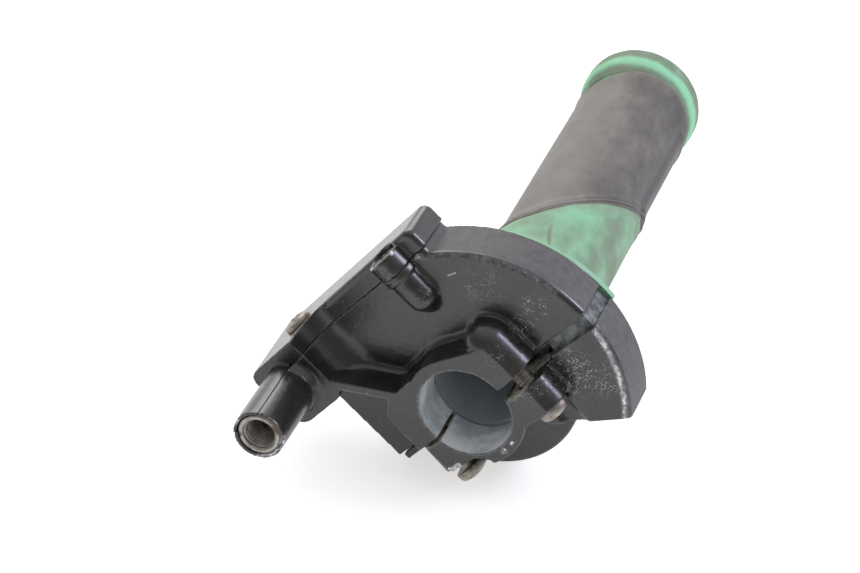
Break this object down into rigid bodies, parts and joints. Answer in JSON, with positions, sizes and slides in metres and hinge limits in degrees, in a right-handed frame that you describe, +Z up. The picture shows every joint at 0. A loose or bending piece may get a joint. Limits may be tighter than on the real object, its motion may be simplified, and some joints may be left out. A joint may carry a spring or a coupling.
{
  "type": "throttle grip",
  "caption": "Quick-turn motorcycle throttle grip: black cast housing with cable inlet and cover, swung-open clamp half, cable drum, and a green grip with a dark worn sleeve.",
  "frame": {"origin": "centre of the handlebar bore on the clamp's inboard face", "axes": "+Y along the handlebar towards the grip's outer end, +Z up as the part lies with its cable inlet to the left, +X to the right"},
  "size_m": [0.0912, 0.1785, 0.0646],
  "materials": {
    "black_casting": "worn black paint on die casting",
    "dull_aluminium": "dull grey oxide",
    "bare_steel": "bare, lightly corroded",
    "worn_steel": "dull, brown-grey tarnish",
    "brass": "dull",
    "nylon": "natural",
    "green_plastic": "moulded",
    "green_rubber": "aged, stained",
    "dark_rubber": "aged, matte"
  },
  "bodies": {
    "housing": {"housing_body": "black_casting", "cable_cover": "black_casting", "clamp_half": "black_casting", "cable_insert": "bare_steel", "cable_ferrule": "brass", "cable_guide": "nylon", "clamp_screw_left": "worn_steel", "clamp_screw_right": "worn_steel", "cover_screw_lower": "worn_steel", "cover_screw_upper": "worn_steel"},
    "grip": {"throttle_tube": "dull_aluminium", "cable_drum": "green_plastic", "grip_rubber": "green_rubber", "grip_sleeve": "dark_rubber"}
  },
  "joints": [
    {"name": "throttle_twist", "type": "hinge", "parent": "housing", "child": "grip", "pos_m": [0, 0, 0], "axis": [0, 1, 0], "range_deg": [-65, 0]}
  ]
}
